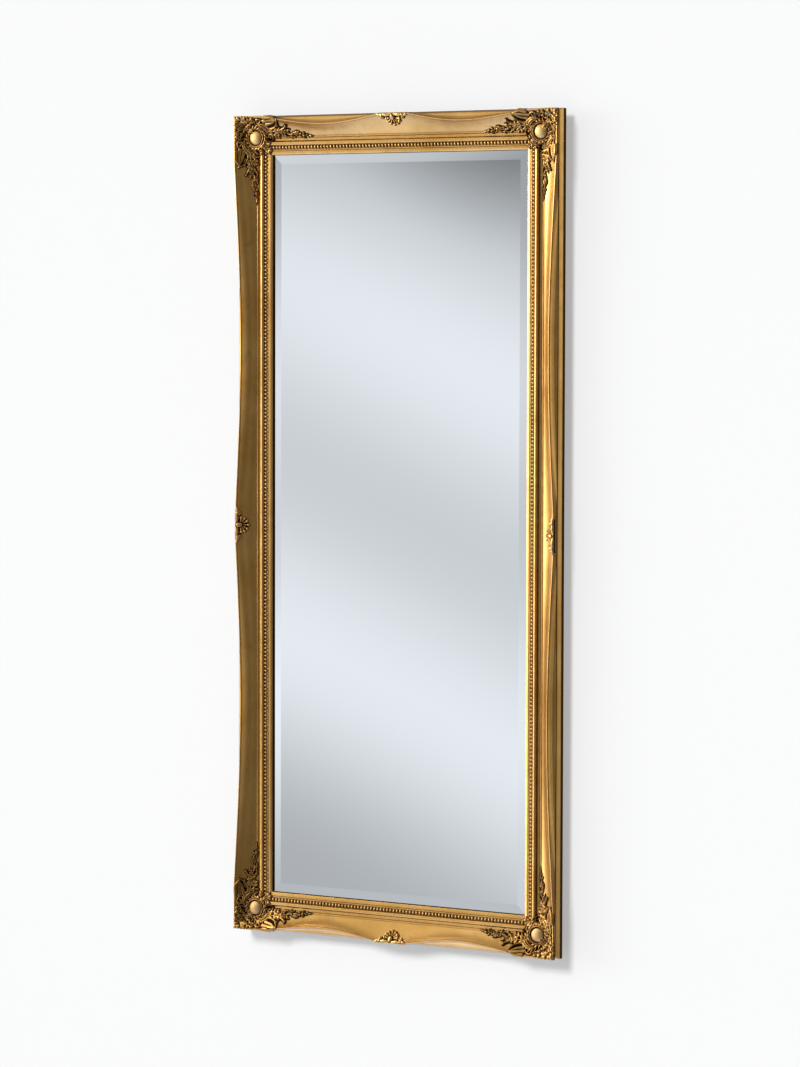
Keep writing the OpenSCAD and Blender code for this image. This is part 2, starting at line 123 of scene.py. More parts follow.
def front_profile(ridge):
    """The moulding's front as (s, h), from the sight edge out to the ridge."""
    # the lip, and the quirk beside it
    pts = [(0, LIP_H - 0.9), (0.3, LIP_H - 0.4), (0.9, LIP_H - 0.1), (3.6, LIP_H + 0.7), (6.6, LIP_H + 1.3)]
    pts += [(7.2, LIP_H + 1.2), (7.6, LIP_H + 0.6), (8.0, LIP_H + 0.3)]
    # a thin bead, and the channel that holds the pearls
    pts += arc(9.5, LIP_H + 0.3, 1.2, 165, 15, 7)
    pts += [(CHANNEL_S - CHANNEL_W / 2, CHANNEL_H), (CHANNEL_S + CHANNEL_W / 2, CHANNEL_H)]
    # the torus, lower than round
    pts += [(TORUS_S - TORUS_R, TORUS_H)]
    pts += [(a, TORUS_H + 1.4 + (b - TORUS_H) * 0.6) for a, b in arc(TORUS_S, TORUS_H, TORUS_R, 172, 8, 15)]
    # a hollow, and the small bead at the foot of the scoop
    pts += [(27.0, LIP_H + 1.6), (27.4, LIP_H + 0.5), (28.4, LIP_H - 0.6), (30.0, LIP_H - 1.2)]
    pts += [(32.2, LIP_H - 1.0), (34.0, LIP_H - 0.2), (34.8, LIP_H + 0.8), (35.2, LIP_H + 1.3)]
    pts += [(36.2, LIP_H + 1.6), (37.2, LIP_H + 1.3), (37.6, LIP_H + 0.7), (38.2, LIP_H + 0.9)]
    pts += [scoop_point(ridge, t) for t in np.linspace(0, 1, 20)]
    return pts


def side_profile(ridge):
    """The outer side: a hollow slope from the ridge, a fine groove, a leaning band and a grooved foot."""
    pts = [(ridge - 0.3, RIDGE_H - 0.08), (ridge + 0.3, RIDGE_H), (ridge + 0.9, RIDGE_H - 0.3)]
    pts += [(ridge + CROWN_W, RIDGE_H - 1.1)]
    for t in np.linspace(0.12, 1.0, 9):
        fall = math.sin(math.pi / 2 * t) ** SLOPE_FALL
        s = mix(ridge + CROWN_W, SLOPE_END_S, t ** SLOPE_RUN)
        pts.append((s, mix(RIDGE_H - CROWN_DROP, SLOPE_END_H, fall)))
    pts += [(SLOPE_END_S + 0.1, SLOPE_END_H - 0.8), (SLOPE_END_S + 0.7, SLOPE_END_H - 0.9)]
    for t in np.linspace(0, 1, 8):
        bulge = 0.6 * math.sin(math.pi * t)
        pts.append((mix(SLOPE_END_S + 1.1, RAIL_W - 0.4, t) + bulge, mix(SLOPE_END_H - 0.7, FOOT_H + 0.6, t)))
    pts += [(RAIL_W - 1.0, FOOT_H), (RAIL_W, FOOT_H - 0.5)]
    pts += [(RAIL_W, 4.4), (RAIL_W - 0.7, 4.0), (RAIL_W - 0.7, 3.4), (RAIL_W, 3.0)]
    return pts


def rail_section(ridge):
    """The closed outline of a rail, with the rebate cut out of its back."""
    inner = [(REBATE, LIP_H - LIP_T), (0, LIP_H - LIP_T)]
    back = [(RAIL_W, 0.5), (RAIL_W - 0.5, 0), (REBATE, 0)]
    return np.array(inner + front_profile(ridge) + side_profile(ridge) + back)


def front_height(s, ridge):
    """Height of the moulding's front at s, for arrays of s and of the ridge's place."""
    s, ridge = np.broadcast_arrays(np.asarray(s, float), np.asarray(ridge, float))
    flat = np.array([(a, b) for a, b in front_profile(RAIL_W) if a < SCOOP_S])
    order = np.argsort(flat[:, 0])
    low = np.interp(s, flat[order, 0], flat[order, 1])
    x = np.clip((s - SCOOP_S) / (ridge - SCOOP_TOP_IN - SCOOP_S), 0, 1)
    angle = np.arcsin(mix(math.sin(SCOOP_START), math.sin(SCOOP_END), x))
    scoop = mix(SCOOP_H, RIDGE_H - SCOOP_TOP_DROP, scoop_shape(angle)[1])
    slope_w = np.maximum(SLOPE_END_S - ridge - CROWN_W, 0.5)
    over = np.clip((s - ridge - CROWN_W) / slope_w, 0, 1) ** (1 / SLOPE_RUN)
    side = mix(RIDGE_H - CROWN_DROP, SLOPE_END_H, np.sin(math.pi / 2 * over) ** SLOPE_FALL)
    h = np.where(s < SCOOP_S, low, scoop)
    h = np.where(s > ridge - SCOOP_TOP_IN, RIDGE_H, h)
    return np.where(s > ridge + CROWN_W, side, h)


# ---- meshes

ALL_SMOOTH = 180


def new_mesh(name, verts, groups, body, material, wax_and_shade, smooth_angle=ALL_SMOOTH):
    """A mesh piece from points in millimetres; each group holds faces with one number of corners."""
    mesh = bpy.data.meshes.new(name)
    verts = np.asarray(verts, float) * MM
    sizes = np.concatenate([np.full(len(g), g.shape[1]) for g in groups])
    loops = np.concatenate([g.ravel() for g in groups])
    starts = np.concatenate([[0], np.cumsum(sizes)[:-1]])
    mesh.vertices.add(len(verts))
    mesh.vertices.foreach_set("co", verts.ravel())
    mesh.loops.add(len(loops))
    mesh.loops.foreach_set("vertex_index", loops.astype(np.int32))
    mesh.polygons.add(len(sizes))
    mesh.polygons.foreach_set("loop_start", starts.astype(np.int32))
    mesh.update(calc_edges=True)
    mesh.validate()
    mesh.shade_smooth()
    if smooth_angle < ALL_SMOOTH:
        mesh.set_sharp_from_angle(angle=math.radians(smooth_angle))
    # each point's darkness: dark wax, and on the rails painted shade too
    layer = mesh.attributes.new("wax_and_shade", "FLOAT", "POINT")
    layer.data.foreach_set("value", np.asarray(wax_and_shade, np.float32))
    mesh.materials.append(material)
    obj = bpy.data.objects.new(name, mesh)
    bpy.context.collection.objects.link(obj)
    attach(obj, body)
    return obj


def tube_faces(rows, cols):
    """Quads over a grid of points whose last column joins the first."""
    i, j = np.meshgrid(np.arange(rows - 1), np.arange(cols), indexing="ij")
    k = (j + 1) % cols
    quads = np.stack([i * cols + j, i * cols + k, (i + 1) * cols + k, (i + 1) * cols + j], axis=-1)
    return quads.reshape(-1, 4)


def place(side, along, s, h):
    """Points of a rail in the frame's X, Y and Z, from along, s and h."""
    along, s, h = np.broadcast_arrays(along, s, h)
    y = BACK_Y - h
    if side == "top":
        return np.stack([along, y, CENTRE_Z + SIGHT_H / 2 + s], axis=-1)
    if side == "bottom":
        return np.stack([-along, y, CENTRE_Z - SIGHT_H / 2 - s], axis=-1)
    if side == "right":
        return np.stack([SIGHT_W / 2 + s, y, CENTRE_Z - along], axis=-1)
    return np.stack([-SIGHT_W / 2 - s, y, CENTRE_Z + along], axis=-1)


# each rail's sight length, its sweep and its steps along
SIDES = {
    "top": (SIGHT_W, END_SWEEP, 110), "bottom": (SIGHT_W, END_SWEEP, 110),
    "left": (SIGHT_H, SIDE_SWEEP, 200), "right": (SIGHT_H, SIDE_SWEEP, 200),
}

# dark wax in the front's hollows, as (place across, width, amount), and painted shade past the ridge
WAX_LINES = ((7.8, 0.6, 0.8), (11.4, 0.8, 0.5), (CHANNEL_S, 3.3, 1.0), (19.1, 0.7, 0.6),
             (27.4, 0.9, 0.9), (30.8, 3.0, 0.12), (34.4, 0.7, 0.5), (38.3, 0.8, 0.6))
# painted shade on the outer slopes, heavier on the upright rails than on the level ones
END_SLOPE_SHADE, SIDE_SLOPE_SHADE = 0.06, 0.25
# painted shade on the foot of the outer side
FOOT_SHADE = 0.5


def profile_wax_and_shade(section, slope_shade):
    """How dark each point of a section is: dark wax in the hollows, none on the crowns, and painted shade
    by the ridge, on the outer slopes and on the foot.
    """
    s = section[:, 0]
    h = section[:, 1]
    wax_and_shade = np.zeros(len(section))
    for at, width, amount in WAX_LINES:
        wax_and_shade = np.maximum(wax_and_shade, amount * np.exp(-((s - at) / width) ** 2))
    # dark wax on the sight edge's inner wall and in the rebate; painted shade on the side and back below 9 mm
    wax_and_shade[(s < 0.1) | (h < LIP_H - 2)] = 1.0
    outward = s > SCOOP_S + 0.5
    past_ridge = (np.arange(len(section)) > np.argmax(h)) & outward
    below_ridge = ~past_ridge & outward & (h > SCOOP_H)
    # a thin line of painted shade along the scoop just under the ridge, and no wax on the rest of the scoop
    wax_and_shade = np.where(below_ridge, 0.72 * np.exp(-((h - RIDGE_H + 1.7) / 0.7) ** 2), wax_and_shade)
    # painted shade on the outer slope past the ridge
    wax_and_shade = np.where(past_ridge & (h > SLOPE_END_H), np.maximum(wax_and_shade, slope_shade), wax_and_shade)
    # painted shade on the foot of the outer side
    wax_and_shade = np.where(past_ridge & (h < FOOT_H), np.maximum(wax_and_shade, FOOT_SHADE), wax_and_shade)
    # lines on the outer side: painted shade just past the ridge and at the back edge, wax in the grooves
    side_wax_and_shade_lines = ((RIDGE_H - 1.0, 0.75), (SLOPE_END_H - 0.8, 4 * slope_shade), (FOOT_H, 1.0),
                  (3.7, 0.9), (0.3, 0.8))
    # the line in the groove under the slope is darker on the upright rails, as painted shade
    for at, amount in side_wax_and_shade_lines:
        wax_and_shade = np.where(past_ridge, np.maximum(wax_and_shade, amount * np.exp(-((h - at) / 0.8) ** 2)), wax_and_shade)
    return wax_and_shade


def make_rail(side, material):
    sight, sweep, steps = SIDES[side]
    # the upright rails get more painted shade on their outer slopes than the level ones
    slope_shade = SIDE_SLOPE_SHADE if sight == SIGHT_H else END_SLOPE_SHADE
    rings = []
    wax_and_shade_rows = []
    for t in np.linspace(-1, 1, steps):
        section = rail_section(float(ridge_s(t * (sight / 2 + RIDGE_LINE_S), **sweep)))
        rings.append(place(side, t * (sight / 2 + section[:, 0]), section[:, 0], section[:, 1]))
        wax_and_shade_rows.append(profile_wax_and_shade(section, slope_shade))
    count = len(rings[0])
    verts = np.concatenate(rings)
    walls = tube_faces(steps, count)[:, ::-1]
    ends = [np.arange(count)[None, :], (np.arange(count)[::-1] + (steps - 1) * count)[None, :]]
    rail = new_mesh("moulding_" + side, verts, [walls] + ends, "frame", material,
                    np.concatenate(wax_and_shade_rows), smooth_angle=38)
    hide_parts("rail_" + side)


# ---- pearls

PEARL_PITCH = 7.7
PEARL_R = 3.0
PEARL_LONG, PEARL_WIDE = 0.87, 1.10
PEARL_RINGS, PEARL_SEGMENTS = 7, 16


def make_pearls(side, material):
    sight, _, _ = SIDES[side]
    reach = sight + 2 * CHANNEL_S
    count = round(reach / PEARL_PITCH)
    pitch = reach / count
    # one pearl, open at its crown and under its foot, where flat caps close it
    tilt = np.radians(np.linspace(4, 118, PEARL_RINGS))
    turn = np.radians(np.arange(PEARL_SEGMENTS) * 360 / PEARL_SEGMENTS)
    one = np.stack([np.outer(np.sin(tilt), np.cos(turn)) * PEARL_LONG,
                    np.outer(np.sin(tilt), np.sin(turn)) * PEARL_WIDE,
                    np.outer(np.cos(tilt), np.ones(PEARL_SEGMENTS))], axis=-1).reshape(-1, 3) * PEARL_R
    around = np.arange(PEARL_SEGMENTS)
    caps = [around[::-1][None, :], (around + (PEARL_RINGS - 1) * PEARL_SEGMENTS)[None, :]]
    quads = tube_faces(PEARL_RINGS, PEARL_SEGMENTS)
    # the whole string
    along = (np.arange(count) + 0.5) * pitch - reach / 2
    centre_h = CHANNEL_H + 0.8
    pts = place(side, along[:, None] + one[None, :, 0], CHANNEL_S + one[None, :, 1],
                centre_h + one[None, :, 2])
    step = (np.arange(count) * len(one))[:, None, None]
    faces = [(group[None] + step).reshape(-1, group.shape[1]) for group in [quads] + caps]
    # wax low down, and most of it between neighbours
    gap = np.abs(one[:, 0]) / PEARL_R
    wax_and_shade = np.clip((1.9 - one[:, 2]) / 2.4, 0, 1) * (0.3 + 0.9 * gap)
    pearls = new_mesh("pearls_" + side, pts.reshape(-1, 3), faces, "frame", material,
                      np.tile(wax_and_shade, count))
    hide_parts("bead_" + side)


# ---- relief castings

def blur(field, radius):
    """A soft average of a 2-D field, by repeated box filters."""
    size = max(1, int(round(radius)))
    out = field
    for _ in range(3):
        for axis in (0, 1):
            pad = [(size, size) if k == axis else (0, 0) for k in (0, 1)]
            run = np.cumsum(np.pad(out, pad, mode="edge"), axis=axis)
            run = np.insert(run, 0, 0, axis=axis)
            span = 2 * size + 1
            a = np.take(run, np.arange(span, span + out.shape[axis]), axis=axis)
            b = np.take(run, np.arange(0, out.shape[axis]), axis=axis)
            out = (a - b) / span
    return out


def curve(points, steps):
    """A smooth curve through given points (Catmull-Rom)."""
    pts = np.asarray(points, float)
    pts = np.vstack([2 * pts[0] - pts[1], pts, 2 * pts[-1] - pts[-2]])
    out = []
    for t in np.linspace(0, len(pts) - 3, steps):
        i = min(int(t), len(pts) - 4)
        f = t - i
        a, b, c, d = pts[i:i + 4]
        out.append(0.5 * (2 * b + (c - a) * f + (2 * a - 5 * b + 4 * c - d) * f * f
                          + (3 * b - a - 3 * c + d) * f ** 3))
    return np.array(out)


class Relief:
    """Carving on a grid: each stroke raises the field where it passes, and the highest wins."""

    def __init__(self, x0, x1, y0, y1, step):
        self.x, self.y = np.meshgrid(np.arange(x0, x1 + step / 2, step), np.arange(y0, y1 + step / 2, step),
                                     indexing="ij")
        self.step = step
        self.field = np.full(self.x.shape, -1.0)
        self.bare = np.zeros(self.x.shape, bool)

    def stroke(self, points, widths, heights, vein=0.0, ribs=0, rib_depth=0.5, lobes=0, lobe_depth=0.3,
               steps=0, flat=0.5, cut=0.0):
        """A leaf, ribbon or rolled edge along a curve, with stops for its half width and its height.

        vein sinks its midline, ribs run along it, and lobes scallop its outline with a cut between
        each pair; flat is the power of its cross-section, a half circle at 0.5.
        """
        line = curve(points, steps or 6 * len(points))
        margin = max(widths) + 2 * self.step
        near = ((self.x > line[:, 0].min() - margin) & (self.x < line[:, 0].max() + margin)
                & (self.y > line[:, 1].min() - margin) & (self.y < line[:, 1].max() + margin))
        if not near.any():
            return
        px, py = self.x[near], self.y[near]
        best = np.full(px.shape, 1e9)
        where = np.zeros(px.shape)
        side = np.zeros(px.shape)
        for k in range(len(line) - 1):
            a, b = line[k], line[k + 1]
            d = b - a
            t = np.clip(((px - a[0]) * d[0] + (py - a[1]) * d[1]) / max(d @ d, 1e-9), 0, 1)
            dist = np.hypot(px - a[0] - t * d[0], py - a[1] - t * d[1])
            closer = dist < best
            best = np.where(closer, dist, best)
            where = np.where(closer, (k + t) / (len(line) - 1), where)
            side = np.where(closer, np.sign(d[0] * (py - a[1]) - d[1] * (px - a[0])), side)
        width = np.maximum(np.interp(where, np.linspace(0, 1, len(widths)), widths), 0.05)
        height = np.interp(where, np.linspace(0, 1, len(heights)), heights)
        across = best / width
        if lobes:
            phase = math.pi * (where * lobes - 0.4 * across)
            width = width * (1 - lobe_depth * np.abs(np.cos(phase)) ** 3)
            across = best / width
        body = height * np.clip(1 - across ** 2, 0, 1) ** flat
        if vein:
            body = body - vein * np.exp(-(best / 0.6) ** 2)
        if ribs:
            body = body - rib_depth * np.abs(np.cos(math.pi * ribs * (side * across + 1) / 2)) ** 4
        if lobes and cut:
            body = body - cut * np.abs(np.cos(phase)) ** 8 * np.clip(across * 2.5 - 0.3, 0, 1)
        self.field[near] = np.maximum(self.field[near], np.where(across < 1, body, -1.0))

    def both(self, points, *args, **kwargs):
        """The same stroke on each side of the diagonal."""
        self.stroke(points, *args, **kwargs)
        self.stroke([(b, a) for a, b in points], *args, **kwargs)

    def leaf(self, points, width, height, pairs, sweep=40, both=False):
        """An acanthus leaf: a midrib with pairs of curled lobes."""
        if both:
            self.leaf([(b, a) for a, b in points], width, height, pairs, sweep)
        line = curve(points, 12 * pairs)
        for k in range(pairs):
            along = (k + 0.25) / pairs
            i = int(along * (len(line) - 2))
            heading = math.atan2(*(line[i + 1] - line[i])[::-1])
            reach = width * math.sin(math.pi * (0.22 + 0.70 * along)) ** 0.8
            for side in (-1, 1):
                out = heading + side * math.radians(sweep)
                tip = heading + side * math.radians(sweep * 0.45)
                bend = line[i] + 0.62 * reach * np.array((math.cos(out), math.sin(out)))
                end = bend + 0.55 * reach * np.array((math.cos(tip), math.sin(tip)))
                self.stroke([line[i], bend, end], [0.6, 0.34 * reach, 0.35 * reach, 0.5],
                            [0.8 * height, height, 0.9 * height, 0.55 * height], vein=0.2, steps=10)
        self.stroke(points, [0.20 * width, 0.16 * width, 0.3], [1.12 * height, 1.1 * height, 0.7 * height])

    def volute(self, cx, cy, r, turns, start, width, height, hand=1, both=False):
        """A scroll that winds in to its eye."""
        angles = start + hand * np.linspace(0, turns * 360, int(10 * turns) + 4)
        radii = np.linspace(r, r * 0.2, len(angles))
        pts = [polar(cx, cy, k, a) for a, k in zip(angles, radii)]
        draw = self.both if both else self.stroke
        draw(pts, [width, width * 0.9, width * 0.75], [height, height, height * 1.2], steps=3 * len(pts))

    def arc(self, cx, cy, radii, start, end, widths, heights, both=False, **kwargs):
        """A stroke round a centre, from one angle to another, with stops for its radius."""
        angles = np.linspace(start, end, 9)
        reach = np.interp(np.linspace(0, 1, 9), np.linspace(0, 1, len(radii)), radii)
        pts = [polar(cx, cy, k, a) for a, k in zip(angles, reach)]
        draw = self.both if both else self.stroke
        draw(pts, widths, heights, steps=36, **kwargs)

    def dome(self, cx, cy, rx, ry, height, power=0.5, foot=0.0):
        """A boss on an oval, raised on a foot."""
        rho = ((self.x - cx) / rx) ** 2 + ((self.y - cy) / ry) ** 2
        boss = foot + height * np.clip(1 - rho, 0, 1) ** power
        self.field = np.maximum(self.field, np.where(rho < 1, boss, -1.0))

    def berries(self, places, r, height, both=False):
        for a, b in places:
            self.dome(a, b, r, r, height * 0.6, foot=height * 0.4)
            if both:
                self.dome(b, a, r, r, height * 0.6, foot=height * 0.4)

    def flower(self, cx, cy, r, petals, height, turn=0):
        for k in range(petals):
            a = turn + 360 * k / petals
            self.stroke([polar(cx, cy, 0.25 * r, a), polar(cx, cy, r, a)], [r * 0.22, r * 0.42, r * 0.3],
                        [height * 0.5, height, height * 0.75], vein=0.5, steps=5)
        self.dome(cx, cy, r * 0.3, r * 0.3, height * 0.55, foot=height * 0.75)

    def web(self, reach, height):
        """Fills the small gaps between the strokes with a low ground."""
        solid = (self.field > 0.4).astype(float)
        near = blur(solid, reach / self.step) > 0.12
        self.field = np.where((self.field < height) & near, height, self.field)


def relief_wax(relief):
    """Dark wax in the hollows of a relief and on its low ground; the bare parts get -1."""
    raised = np.maximum(relief.field, 0)
    hollow = np.clip(blur(raised, 1.1 / relief.step) - raised, 0, 1)
    basin = np.clip((blur(raised, 2.6 / relief.step) - raised) / 2.2, 0, 1)
    ground = np.clip(1.3 - relief.field, 0, 1.3)
    return np.where(relief.bare, -1.0, np.clip(1.4 * hollow + 0.75 * basin + 0.8 * ground, 0, 1))


def grow(mask, cells):
    """The mask, spread by some cells towards the start of each axis, and into the last row and column."""
    for _ in range(cells):
        before = mask
        mask = before.copy()
        mask[:-1] |= before[1:]
        mask[-1] |= before[-2]
        mask[:, :-1] |= before[:, 1:]
        mask[:, -1] |= before[:, -2]
    return mask


def shell_faces(kept):
    """Quads of a closed shell over a grid: the kept cells, the same cells below, and walls round them."""
    rows, cols = kept.shape
    cell = kept[:-1, :-1] & kept[1:, :-1] & kept[1:, 1:] & kept[:-1, 1:]
    index = np.arange(rows * cols).reshape(rows, cols)
    quads = np.stack([index[:-1, :-1], index[1:, :-1], index[1:, 1:], index[:-1, 1:]], axis=-1)[cell]
    edges = np.concatenate([quads[:, [k, (k + 1) % 4]] for k in range(4)])
    _, inverse, counts = np.unique(np.sort(edges, axis=1), axis=0, return_inverse=True, return_counts=True)
    rim = edges[counts[inverse.ravel()] == 1]
    below = rows * cols
    walls = np.stack([rim[:, 0], rim[:, 0] + below, rim[:, 1] + below, rim[:, 1]], axis=-1)
    return np.concatenate([quads, quads[:, ::-1] + below, walls])


SINK = 1.2
GRAIN = 0.05


def casting(name, node, relief, base, to_world, body, material, flip=False):
    """A closed casting: the relief stands on the base surface along its normal, and its rim is sunk in it."""
    field = relief.field
    rng = np.random.default_rng(7)
    soft = blur(field, 0.5 / relief.step)
    soft = soft + GRAIN * blur(rng.normal(0, 1, field.shape), 1) * (field > 0.3)
    # nothing rises past the highest level
    room_above = HIGHEST - base
    lift = np.where(soft > 0, room_above * np.tanh(soft / room_above), np.maximum(soft, -SINK))
    slope_x, slope_y = np.gradient(blur(base, 1.5 / relief.step), relief.step)
    length = np.sqrt(slope_x ** 2 + slope_y ** 2 + 1)
    x = relief.x - lift * slope_x / length
    y = relief.y - lift * slope_y / length
    h = base + lift / length
    under = base - 1.6 * SINK
    # only the points that a face uses
    faces = shell_faces(grow(field > -0.99, 2))
    used, compact = np.unique(faces, return_inverse=True)
    faces = compact.reshape(faces.shape)
    xs = np.concatenate([x.ravel(), relief.x.ravel()])[used]
    ys = np.concatenate([y.ravel(), relief.y.ravel()])[used]
    hs = np.concatenate([h.ravel(), under.ravel()])[used]
    wax_and_shade = np.concatenate([relief_wax(relief).ravel(), np.ones(field.size)])[used]
    if flip:
        faces = faces[:, ::-1]
    piece = new_mesh(name, to_world(xs, ys, hs), [faces], body, material, wax_and_shade)
    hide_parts(node)


# the corner cartouche, in p and q
CARTOUCHE_C = 45.0
CABOCHON_R = 14.0
ROPE_R, ROPE_OUTER_R, ROPE_TWISTS = 19.4, 25.0, 18


def carve_cartouche(step):
    """The scrollwork of a corner, with the cabochon in the middle of it."""
    r = Relief(0.4, 126, 0.4, 126, step)
    c = CARTOUCHE_C
    # leaves that fold over from the outer corner towards the cabochon
    r.leaf([(4, 4), (14, 13), (31, 31)], 12.5, 6.0, 3)
    r.leaf([(2.5, 19), (10, 23), (27, 34)], 9.5, 5.2, 3, both=True)
    r.leaf([(3, 33), (10, 35), (21, 41)], 7.5, 5.0, 2, both=True)
    r.volute(9.5, 43.5, 4.8, 1.2, 250, 1.5, 5.4, hand=-1, both=True)
    r.berries([(3.2, 11), (3.4, 27), (12.5, 28.5)], 2.1, 4.8, both=True)
    # twisted rope round the cabochon
    for k in range(ROPE_TWISTS):
        a = 360 * k / ROPE_TWISTS
        strand = [polar(c, c, ROPE_R, a), polar(c, c, ROPE_OUTER_R, a + 20)]
        r.stroke(strand, [2.2, 2.9, 1.9], [5.2, 5.8, 3.2], steps=4)
    # crescents of ribbed acanthus that wrap the rope on the two inner sides
    r.arc(c, c, [26, 31, 33, 31], -82, -8, [1.6, 5.8, 6.8, 3.0], [4.4, 6.8, 7.0, 4.6], both=True,
          ribs=3, rib_depth=2.4)
    r.arc(c, c, [31, 39, 40, 35], -62, 20, [1.4, 2.8, 3.0, 1.4], [3.4, 5.2, 5.2, 3.6], both=True,
          lobes=6, lobe_depth=0.5, cut=1.6)
    r.arc(c, c, [26.5, 28, 27], 98, 166, [2.0, 3.8, 2.0], [4.0, 5.2, 4.0], ribs=2, rib_depth=1.8)
    # the leaf that points down the mitre to the sight corner
    r.leaf([(56, 56), (66, 65), (77.5, 74.5)], 11.5, 5.6, 4, sweep=36)
    r.leaf([(48, 64), (54, 71), (61, 77.5)], 6.4, 4.8, 3, both=True)
    r.leaf([(36, 66), (40, 73), (47, 79)], 5.8, 4.4, 3, both=True)
    # a small shell along each outer edge, next to the cabochon
    shell_rim = [(22, 46), (13, 47.5), (7, 54), (8.5, 64), (15, 68), (21, 62), (24, 54)]
    r.both(shell_rim, [1.0, 1.2, 1.2, 1.0], [4.0, 4.2, 4.0], steps=42)
    for p, q in ((9.2, 54.5), (11.2, 61), (16, 64.5)):
        r.both([(20, 51.5), ((20 + p) / 2 - 0.6, (51.5 + q) / 2), (p, q)], [0.9, 2.1, 1.9], [4.0, 5.4, 4.2],
               steps=8)
    # the long ear after it
    for root, bulge in (((4.4, 73), (4.6, 88)), ((11.0, 69.5), (9.2, 86)), ((17.6, 73), (14.6, 88))):
        r.both([root, bulge, (9.4, 102.5)], [3.8, 3.2, 1.1], [4.4, 5.6, 4.6], steps=14, vein=0.9)
    ear_rim = [(23.5, 74), (24.8, 84), (21.5, 95), (14.5, 102), (8.6, 105)]
    r.both(ear_rim, [1.2, 1.9, 1.9, 1.5], [4.2, 5.8, 5.8, 4.6], steps=30)
    r.berries([(19.8, 68.5), (24.0, 90), (19.8, 101)], 2.3, 5.0, both=True)
    # the branch between ear and spray, with a curled tip, and its lower leaves
    r.leaf([(27, 66), (30.5, 80), (30.5, 95), (27.5, 107)], 11, 5.4, 4, both=True)
    tip_line = [(29, 96), (28, 106), (24.8, 115), (22.4, 119)]
    r.both(tip_line, [2.0, 2.2, 1.9, 1.8], [5.6, 5.6, 5.0, 4.6], vein=0.6)
    r.berries([(21.8, 120.6)], 2.8, 5.6, both=True)
    r.leaf([(37, 78), (39, 90), (42.5, 104)], 9, 5.0, 3, both=True)
    r.leaf([(33, 94), (34.5, 104), (34.5, 114)], 6.4, 4.8, 2, both=True)
    r.berries([(29.5, 112), (40.2, 109)], 2.1, 4.8, both=True)
    r.web(1.2, 0.35)
    # the cabochon in its rolled rim, with a leaf that laps over it at the outer corner
    away = np.hypot(r.x - c, r.y - c)
    r.field = np.where(away < 19, 1.0, r.field)
    r.arc(c, c, [17.2, 17.2], 0, 360, [1.5, 1.5], [5.8, 5.8])
    r.dome(c, c, CABOCHON_R, CABOCHON_R, 4.6, 0.62, foot=1.0)
    dome = r.field.copy()
    r.stroke([(26, 26), (32, 31), (38.5, 37)], [4.4, 4.2, 1.4], [6.4, 8.4, 7.2], ribs=3, rib_depth=0.9)
    r.both([(26, 33), (30, 36.5), (34.5, 40.5)], [2.2, 2.2, 0.9], [6.0, 7.2, 6.4], vein=0.6)
    r.bare = (away < CABOCHON_R - 0.4) & (r.field <= dome)
    return r


def corner_surface(p, q):
    """Height of the mouldings near a corner, on either side of the mitre."""
    end = front_height(RAIL_W - q, ridge_s(OUTER_W / 2 - p, **END_SWEEP))
    side = front_height(RAIL_W - p, ridge_s(OUTER_H / 2 - q, **SIDE_SWEEP))
    h = np.where(q < p, end, side)
    beyond_slope = np.minimum(p, q) < RAIL_W - SLOPE_END_S
    return np.where(beyond_slope, np.maximum(h, SLOPE_END_H + 4), h)


def cartouche_base(r):
    """The moulding under the casting, filled so that the cabochon stands clear of the scoop."""
    away = np.hypot(r.x - CARTOUCHE_C, r.y - CARTOUCHE_C)
    pillow = mix(9, 21, np.clip(1 - (away / 34) ** 2, 0, 1) ** 0.8)
    return np.maximum(blur(corner_surface(r.x, r.y), 1.5 / r.step), pillow)


def corner_place(right, bottom):
    """A function that puts p, q and h into X, Y and Z at one corner."""
    def to_world(p, q, h):
        x = OUTER_W / 2 - p if right else p - OUTER_W / 2
        z = q if bottom else OUTER_H - q
        return np.stack([x, BACK_Y - h, z], axis=-1)

    return to_world


CORNERS = {"top_left": (False, False), "top_right": (True, False),
           "bottom_left": (False, True), "bottom_right": (True, True)}


def carve_sprig(step):
    """A spray of husks and small flowers that trails from a corner along the scoop."""
    r = Relief(98, 184, 20, 53, step)
    stem = [(98, 35), (108, 36.5), (120, 36), (134, 38.5), (148, 38.5), (162, 41), (178, 42.5)]
    r.stroke(stem, [1.2, 1.2, 0.9], [2.6, 2.4, 2.0], steps=50)
    line = curve(stem, 64)
    for k in range(8):
        x, y = line[6 + 7 * k]
        size = mix(13.0, 5.6, k / 7)
        side = 1 if k % 2 else -1
        husk = [(x, y), (x + size * 0.35, y + side * size * 0.52), (x + size * 0.95, y + side * size * 0.66)]
        r.stroke(husk, [0.9, size * 0.26, 0.8], [2.2, 4.8, 2.6], vein=0.9, steps=9)
        r.stroke([(x, y), (x + size * 0.8, y - side * size * 0.40)], [0.9, size * 0.2, 0.7],
                 [2.0, 4.0, 2.4], vein=0.5, steps=6)
    for p, q, size in ((114, 32.5, 5.0), (129, 41.5, 4.8), (145, 36.0, 4.4), (159, 43.0, 3.8)):
        r.flower(p, q, size, 5, 5.0, turn=23 * p)
    r.berries([(121.5, 43.5), (122, 33), (137, 35), (137.5, 44)], 1.9, 4.2)
    r.berries([(152, 37.5), (152.5, 43.5), (166, 39.6), (170, 43.8)], 1.9, 4.2)
    r.stroke([(169, 41.6), (175, 42.2), (182, 43)], [1.2, 2.2, 0.6], [2.4, 4.0, 1.6], vein=0.5)
    r.web(0.8, 0.25)
    return r


def make_sprigs(corner, relief, material):
    right, bottom = CORNERS[corner]
    put = corner_place(right, bottom)
    for name, sweep, half, swap in (("along", END_SWEEP, OUTER_W / 2, False),
                                    ("up", SIDE_SWEEP, OUTER_H / 2, True)):
        base = front_height(RAIL_W - relief.y, ridge_s(half - relief.x, **sweep))
        to_world = (lambda x, y, h: put(y, x, h)) if swap else put
        casting(f"husks_{corner}_{name}", "sprigs_" + corner, relief, base, to_world, "frame",
                material, flip=(right != bottom) == (not swap))


